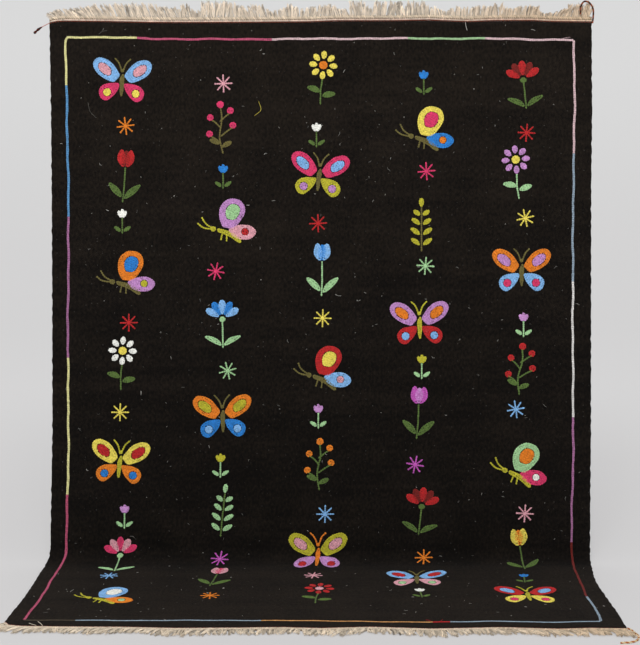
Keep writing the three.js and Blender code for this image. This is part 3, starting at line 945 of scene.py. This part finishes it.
# a butterfly at rest, seen from its side
def restingButterfly():
    wing = rounded([(0, 34), (-14, 66), (-8, 96), (16, 112), (44, 104), (52, 80), (36, 52), (16, 36)])
    stripe = rounded([(6, 62), (4, 84), (18, 98), (36, 92), (38, 78), (24, 60)])
    hind = rounded([(4, 32), (30, 44), (60, 42), (76, 26), (64, 10), (40, 8), (16, 18)])
    dot = disc(48, 27, 9)
    body = rounded([(-30, 42), (-12, 38), (14, 28), (38, 4), (34, -1), (10, 16), (-14, 28), (-32, 34)])
    feelers = [[(-34, 42), (-50, 54), (-58, 70)], [(-35, 39), (-56, 44), (-70, 56)]]
    legs = [[(-8, 30), (-14, 10)], [(2, 24), (0, 6)]]
    return [
        filled(0, wing, stripe), filled(1, stripe), filled(2, hind, dot), filled(3, dot),
        filled(4, body), filled(4, disc(-31, 39, 7)),
        *[drawn(4, rounded(feeler, closed=False)) for feeler in feelers], *[drawn(4, leg) for leg in legs],
    ]


def tulip():
    return [
        drawn(2, [(0, 0), (1, 40), (0, 78)]),
        *petals(2, (58, 15, 38, (0, 4), 0.12), (52, 15, -40, (0, 8), -0.12)),
        *petals(0, (46, 20, -26, (-2, 76), 0.25, 1.1), (46, 20, 26, (2, 76), -0.25, 1.1)),
        *petals(1, (44, 19, 0, (0, 76), 0, 1.1)),
    ]


def daisy():
    heart, turns = (0, 92), range(0, 360, 45)
    return [
        *petals(0, *[(27, 14, turn, heart + turnedBy([(0, 9)], turn)[0], 0, 1.3) for turn in turns]),
        filled(1, disc(*heart, 10)),
        drawn(2, [(0, 0), (-2, 30), (0, 58)]),
        *petals(2, (38, 15, 62, (0, 18), 0.2), (38, 15, -62, (0, 28), -0.2)),
    ]


def berrySprig():
    parts = [drawn(1, rounded([(0, 0), (-6, 40), (2, 84), (0, 112)], closed=False))]
    for reach, rise in [(-30, 44), (28, 62), (-26, 84), (24, 98)]:
        parts.append(drawn(1, [(-3, rise - 20), (reach * 0.6, rise - 6), (reach, rise)]))
        parts.append(filled(0, disc(reach, rise + 5, 8.5)))
    leaves = petals(1, (34, 13, 58, (-4, 14), 0.1), (34, 13, -58, (-4, 22), -0.1))
    return parts + [filled(0, disc(0, 119, 9)), *leaves]


def leafSprig():
    parts = [drawn(1, [(0, 0), (0, 112)])]
    for rise, length in [(14, 34), (40, 36), (66, 32), (90, 26)]:
        parts += petals(0, (length, 13, 48, (2, rise), 0.1), (length, 13, -48, (-2, rise), -0.1))
    return parts + petals(0, (30, 13, 0, (0, 110)))


def fanFlower():
    parts = [drawn(2, [(0, 0), (0, 62)])]
    parts += petals(2, (50, 13, 44, (0, 2), 0.3), (50, 13, -44, (0, 2), -0.3))
    for index, turn in enumerate((-60, -30, 0, 30, 60)):
        parts += petals(index % 2, (46, 17, turn, (0, 66), 0, 1.5))
    return parts + petals(2, (16, 16, 0, (0, 56)))


def bud():
    return [
        drawn(1, [(0, 0), (0, 40)]),
        *petals(1, (30, 10, 48, (0, 2), 0.1), (30, 10, -48, (0, 2), -0.1)),
        *petals(0, (26, 11, -24, (-1, 38)), (26, 11, 24, (1, 38)), (27, 12, 0, (0, 38))),
    ]


def star():
    rays = [(25 * math.cos(angle), 25 * math.sin(angle)) for angle in (0.05, 0.83, 1.6, 2.4)]
    return [drawn(0, [(x, 26 + y), (-x, 26 - y)]) for x, y in rays]


# how each motif is drawn, the height of its middle, its scale, and the piece that it goes into
motifs = {
    "butterfly": (butterfly, 48, 1.12, "butterflies"),
    "resting": (restingButterfly, 54, 1.12, "resting_butterflies"),
    "tulip": (tulip, 60, 1.25, "flowers"),
    "daisy": (daisy, 60, 1.2, "flowers"),
    "berries": (berrySprig, 62, 1.15, "sprigs"),
    "leaves": (leafSprig, 68, 1.1, "sprigs"),
    "fan": (fanFlower, 56, 1.25, "flowers"),
    "bud": (bud, 32, 1.1, "buds"),
    "star": (star, 26, 1.0, "stars"),
}


# a motif and its yarns; across and down are where its middle goes, in metres
def sewMotif(words, across, down, turn=0.0):
    name, *yarns = words.split()
    draw, middle, size, piece = motifs[name]
    for sew, yarn, outlines in draw():
        shapes = [turnedBy(np.asarray(shape, float) - (0, middle), turn) for shape in outlines]
        shapes = [np.array([across, down]) + shape * 0.001 * size * (1, -1) for shape in shapes]
        sew(f"embroidered_{piece}", shapes[0], yarns[yarn], *shapes[1:])


# five columns of motifs, every second one half a step lower, with small ones between
field = {
    "columns": [-0.56, -0.28, 0.0, 0.28, 0.56], "firstRow": 0.165, "rowStep": 0.134,
    "shift": 0.010, "turn": 7, "smallShift": 0.018, "smallTurn": 14,
    "small": "orange white red yellow purple sky pink blue magenta mint lime orchid".split(),
}
largeMotifs = [
    ["butterfly sky pink magenta yellow olive", "tulip red maroon leaf",
     "resting orange blue purple lime olive", "daisy white yellow leaf",
     "butterfly yellow red orange blue lime", "fan magenta pink mint",
     "resting sky white orange mint lime"],
    ["berries magenta olive", "resting purple mint pink red lime", "fan sky blue mint",
     "butterfly orange lime blue sky olive", "leaves mint leaf", "tulip pink magenta leaf"],
    ["daisy yellow orange leaf", "butterfly magenta sky lime purple olive", "tulip sky blue mint",
     "resting red yellow sky pink olive", "berries orange leaf",
     "butterfly lime pink purple red orange", "daisy red pink leaf"],
    ["resting yellow magenta blue orange olive", "leaves lime olive",
     "butterfly purple orange red sky lime", "tulip orchid purple leaf", "fan red maroon leaf",
     "butterfly sky red pink mint olive"],
    ["fan red maroon leaf", "daisy purple yellow mint", "butterfly orange purple sky magenta olive",
     "berries red leaf", "resting mint orange magenta white lime", "tulip yellow orange leaf",
     "butterfly red sky yellow magenta lime"],
]


def sewField():
    small = 0
    for place, across in enumerate(field["columns"]):
        lower = place % 2
        for row, words in enumerate(largeMotifs[place]):
            down = field["firstRow"] + field["rowStep"] * (2 * row + lower)
            shift = dice.uniform(-field["shift"], field["shift"], 2)
            turn = dice.uniform(-field["turn"], field["turn"])
            sewMotif(words, across + shift[0], down + shift[1], turn)
        for row in range(6 + lower):
            down = field["firstRow"] + field["rowStep"] * (2 * row + 1 - lower)
            shift = dice.uniform(-field["smallShift"], field["smallShift"], 2)
            yarn = field["small"][small % len(field["small"])]
            if small % 3 == 1:
                words, turn = f"bud {yarn} {'leaf' if small % 2 else 'mint'}", 0.0
            else:
                words, turn = f"star {yarn}", dice.uniform(-field["smallTurn"], field["smallTurn"])
            sewMotif(words, across + shift[0], down + shift[1], turn)
            small += 1


# the plain line round the field: points on the cloth, then where each colour of yarn ends
borderSides = {
    "top": {
        "line": [(-0.706, 0.0415), (-0.600, 0.0425), (-0.338, 0.0484), (-0.115, 0.0486), (0.113, 0.046),
                 (0.362, 0.047), (0.708, 0.0515)],
        "runs": [(-0.518, "straw"), (-0.140, "rose"), (0.244, "shell"), (0.460, "sage"), (9, "shell")],
        "by": 0, "width": 0.74,
    },
    "right": {
        "line": [(0.7105, 0.053), (0.711, 0.275), (0.708, 0.582), (0.7095, 0.920), (0.7095, 1.202),
                 (0.7075, 1.456), (0.709, 1.516), (0.712, 1.560), (0.719, 1.665), (0.7195, 1.700),
                 (0.7115, 1.790), (0.7115, 1.900), (0.7045, 1.963)],
        "runs": [(0.364, "shell"), (0.722, "smoke"), (1.106, "chalk"), (1.459, "mauve"), (1.790, "brick"),
                 (9, "smoke")],
        "by": 1, "width": 0.76,
    },
    "bottom": {
        "line": [(-0.716, 1.950), (-0.478, 1.954), (-0.133, 1.957), (0.100, 1.9615), (0.211, 1.968),
                 (0.470, 1.966), (0.553, 1.971), (0.7045, 1.966)],
        "runs": [(-0.589, "bark"), (-0.133, "smoke"), (0.290, "copper"), (0.334, "red"), (9, "smoke")],
        "by": 0, "width": 0.68,
    },
    "left": {
        "line": [(-0.706, 0.0415), (-0.7125, 0.047), (-0.7145, 0.060), (-0.7145, 0.218), (-0.7136, 0.498),
                 (-0.715, 0.863), (-0.7145, 1.145), (-0.7145, 1.400), (-0.7155, 1.518), (-0.714, 1.560),
                 (-0.7175, 1.699), (-0.7185, 1.800), (-0.7165, 1.948)],
        "runs": [(0.176, "straw"), (0.540, "steel"), (0.936, "mauve"), (1.324, "straw"), (9, "rose")],
        "by": 1, "width": 0.80,
    },
}


borderLine = {"apart": 0.0019, "wander": 0.0008}  # each of its two rows lies this far out


def sewBorder():
    for border in borderSides.values():
        line = smoothRoute(border["line"], 400)
        along = unit(np.gradient(line, axis=0))
        aside = np.stack([-along[:, 1], along[:, 0]], -1)
        walked = lengthAlong(line)[:, None]
        waves = np.sin(walked / 0.017) + np.sin(walked / 0.041 + 1) + np.sin(walked / 0.11)
        start = 0
        for limit, dye in border["runs"]:
            stop = int(np.searchsorted(line[:, border["by"]], limit))
            run = slice(start, min(stop + 1, len(line)))
            for row in (-1, 1):
                offset = borderLine["wander"] * waves + row * borderLine["apart"] * border["width"]
                sewRow("border_line", (line + aside * offset)[run], dye, border["width"])
            start = stop


# a leg from its start at -1 to its end at 1, in shares of a stitch's width and height
legForm = {
    "at": (-1, -0.5, 0.5, 1), "aside": (0.02, 0.15, 0.30, 0.10), "thick": (0.24, 0.26, 0.36, 0.3),
    "middle": (0.10, 0.36, 0.52, 0.36),
}


# a chain stitch is two plump legs that part and meet again
def stitchShape():
    shape = newShape()
    layer = shape.loops.layers.uv.active
    for leg in (-1, 1):
        made = bmesh.ops.create_uvsphere(shape, u_segments=4, v_segments=3, radius=1, calc_uvs=True)
        for face in {face for vert in made["verts"] for face in vert.link_faces}:
            for loop in face.loops:
                loop[layer].uv.x = loop[layer].uv.x * 0.48 + (0.0 if leg < 0 else 0.52)
        for vert in made["verts"]:
            x, y, z = vert.co
            aside, thick, middle = [
                np.interp(z, legForm["at"], legForm[key]) for key in ("aside", "thick", "middle")
            ]
            vert.co = (0.46 + 0.68 * z, leg * aside + thick * x, middle + 0.56 * y)
    bmesh.ops.recalc_face_normals(shape, faces=shape.faces)
    return shape


# on the back of the cloth, each stitch shows as one flat loop
def backStitchShape():
    shape = newShape()
    bmesh.ops.create_uvsphere(shape, u_segments=3, v_segments=2, radius=1, calc_uvs=True)
    for vert in shape.verts:
        x, y, z = vert.co
        vert.co = (0.5 + 0.54 * z, 0.17 * x, 0.2 * y)
    return shape


def layStitches(name, shape, rows, front=True):
    form = pointsOf(shape)
    start, stop = rows[:, None, 0:2], rows[:, None, 2:4]
    width = rows[:, 7, None] * (1 + dice.normal(0, 0.06, (len(rows), 1)))
    along = stop - start
    aside = unit(np.concatenate([-along[..., 1:], along[..., :1]], -1))
    flat = start + along * form[:, 0, None] + aside * (form[:, 1] * stitch["width"] * width)[..., None]
    rise = form[:, 2] * stitch["height"] * width
    lift = cloth["thickness"] + rise if front else -stitch["behind"] - rise
    tones = 1 + dice.normal(0, 0.09, (len(rows), 1))
    return joinedCopies(name, shape, onCloth(flat, lift), woolFinish, rows[:, None, 4:7], tones)


sewBorder()
sewField()
embroidery = [layStitches(name, stitchShape(), np.array(rows)) for name, rows in sewn.items()]
allRows = np.concatenate([np.array(rows) for rows in sewn.values()])
# the back shows only where the cloth hangs
hangingRows = allRows[np.maximum(allRows[:, 1], allRows[:, 3]) < 1.44]
embroidery.append(layStitches("back_of_embroidery", backStitchShape(), hangingRows, front=False))
print("embroidery sewn:", len(allRows), "stitches")

# lint and loose ends

threadDyes = {
    "white": paint(215, 212, 205), "cream": paint(205, 194, 176), "grey": paint(120, 118, 112),
    "red": dyes["red"], "yellow": dyes["yellow"], "pink": dyes["shell"],
}
looseEnds = {
    "facing": (0.02, -0.7, 0.7),  # no thread runs this way
    "lint": 380, "lintAcross": 0.74, "lintDown": (0.01, 1.97), "lintThick": (0.0003, 0.0007),
    # threads that lie on the cloth: points across and down, thickness, dye
    "threads": [
        ([(0.4060, 0.001), (0.4072, 0.010), (0.4105, 0.024)], 0.0010, "white"),
        ([(-0.660, 1.990), (-0.668, 1.976), (-0.678, 1.962)], 0.0016, "cream"),
        ([(-0.676, 1.988), (-0.688, 1.980), (-0.697, 1.973)], 0.0014, "cream"),
        ([(0.292, 1.972), (0.286, 1.960), (0.276, 1.954)], 0.0008, "red"),
        ([(0.300, 1.972), (0.312, 1.963), (0.318, 1.951)], 0.0008, "red"),
        ([(-0.632, 0.268), (-0.650, 0.250), (-0.655, 0.225)], 0.0005, "grey"),
        ([(-0.188, 0.262), (-0.170, 0.246), (-0.176, 0.222)], 0.0008, "yellow"),
        ([(0.676, 0.0475), (0.690, 0.0445), (0.700, 0.0435)], 0.0008, "pink"),
        ([(-0.622, 0.0335), (-0.612, 0.0262), (-0.598, 0.0240)], 0.0007, "grey"),
    ],
}


# short curled fibres all over the cloth
def scatterLint(sizes):
    count, reach = sizes["lint"], sizes["lintAcross"]
    middle = np.stack([dice.uniform(-reach, reach, count), dice.uniform(*sizes["lintDown"], count)], -1)
    angle = dice.uniform(0, math.pi, count)
    half = dice.gamma(2.0, 0.0009, count) + 0.0007
    curl = dice.normal(0, 0.5, count)
    share = np.linspace(-1, 1, 3)
    turn = angle[:, None] + curl[:, None] * share
    way = np.stack([np.cos(turn), np.sin(turn)], -1)
    flat = middle[:, None] + half[:, None, None] * share[:, None] * way
    radius = dice.uniform(*sizes["lintThick"], count)[:, None]
    paths = onCloth(flat, cloth["thickness"] + radius * 0.8)
    tones = dice.uniform(0.25, 1.0, (count, 1))
    yarnsAlong("lint_specks", paths, radius, sizes["facing"], cottonFinish, threadDyes["white"], tones)


def layThreads(sizes):
    for index, (points, thickness, dye) in enumerate(sizes["threads"]):
        path = onCloth(smoothRoute(points, 12), cloth["thickness"] + thickness * 0.55)
        name, colour = f"loose_thread_{index + 1}", threadDyes[dye]
        yarnsAlong(name, path[None], thickness / 2, sizes["facing"], cottonFinish, colour, sides=5)


scatterLint(looseEnds)
layThreads(looseEnds)
print("lint and loose threads laid")

# studio

studio = {
    "floorRadius": 5.5, "wallRadius": 9.0, "wallHeight": 9.0, "curveSteps": 12, "spinSteps": 64,
    "under": 0.0006,  # from the cloth down to the paper
    "paper": (0.30, 0.30, 0.30, 1),
    # the paper is lit from behind: near the rug, far off, and how much more higher up
    "glowNear": (0.345, 0.337, 0.340, 1),
    "glowFar": (0.425, 0.420, 0.422, 1),
    "glowHigh": (0.475, 0.475, 0.475, 1),
    "glowReach": 3.2, "glowRise": 2.4,
    "world": 0.66,
    "key": {"place": (-0.3, -4.2, 3.4), "aim": (0, -0.3, -0.8), "size": 3.0, "power": 170},
}


def makePaper(sizes):
    material, flow = startMaterial("backdrop_paper")
    place = flow.node("TexCoord", output=3)
    plan = flow.stretched(place, (1, 1, 0))
    away = flow.node("VectorMath", {"operation": "LENGTH"}, {0: plan}, output=1)
    height = flow.node("SeparateXYZ", inputs={0: place}).other(2)
    far = flow.ranged(away, 0.2, sizes["glowReach"])
    high = flow.ranged(height, floorHeight, floorHeight + sizes["glowRise"])
    glow = flow.mixed(high, flow.mixed(far, sizes["glowNear"], sizes["glowFar"]), sizes["glowHigh"])
    shader = flow.node("BsdfPrincipled", inputs={
        "Base Color": sizes["paper"], "Roughness": 1.0, "Specular IOR Level": 0.0,
        "Emission Color": glow, "Emission Strength": 1.0,
    })
    flow.node("OutputMaterial", inputs={"Surface": shader})
    return material


# floor and wall are one sheet of paper, turned all the way round
def makeBackdrop(sizes):
    shape = bmesh.new()
    low, flatTo = floorHeight - sizes["under"], sizes["floorRadius"]
    curve = sizes["wallRadius"] - flatTo
    profile = [(0, low), (flatTo * 0.5, low), (flatTo, low)]
    for step in range(1, sizes["curveSteps"] + 1):
        angle = step / sizes["curveSteps"] * math.pi / 2
        profile.append((flatTo + curve * math.sin(angle), low + curve * (1 - math.cos(angle))))
    profile.append((sizes["wallRadius"], low + sizes["wallHeight"]))
    verts = [shape.verts.new((radius, 0, height)) for radius, height in profile]
    edges = [shape.edges.new(pair) for pair in zip(verts[:-1], verts[1:])]
    bmesh.ops.spin(
        shape, geom=verts + edges, cent=(0, 0, 0), axis=(0, 0, 1), angle=2 * math.pi,
        steps=sizes["spinSteps"], use_merge=True,
    )
    bmesh.ops.remove_doubles(shape, verts=shape.verts, dist=1e-5)
    for face in shape.faces:
        face.smooth = True
        # all look inwards
        if face.normal.dot(Vector((0, 0, 3)) - face.calc_center_median()) < 0:
            face.normal_flip()
    objectFrom(shape, "backdrop", makePaper(sizes))


def addSoftLight(name, sizes):
    lamp = bpy.data.lights.new(name, "AREA")
    lamp.shape, lamp.size, lamp.energy = "DISK", sizes["size"], sizes["power"]
    aim = Vector(sizes["aim"]) - Vector(sizes["place"])
    turn = aim.to_track_quat("-Z", "Y").to_matrix().to_4x4()
    linked(name, lamp).matrix_world = Matrix.Translation(sizes["place"]) @ turn


makeBackdrop(studio)
addSoftLight("key_light", studio["key"])
world = bpy.data.worlds.new("studio")
world.use_nodes = True
background = world.node_tree.nodes["Background"]
background.inputs["Color"].default_value = (1, 1, 1, 1)
background.inputs["Strength"].default_value = studio["world"]
bpy.context.scene.world = world
bpy.context.scene.view_settings.view_transform = "Standard"
print("studio set")
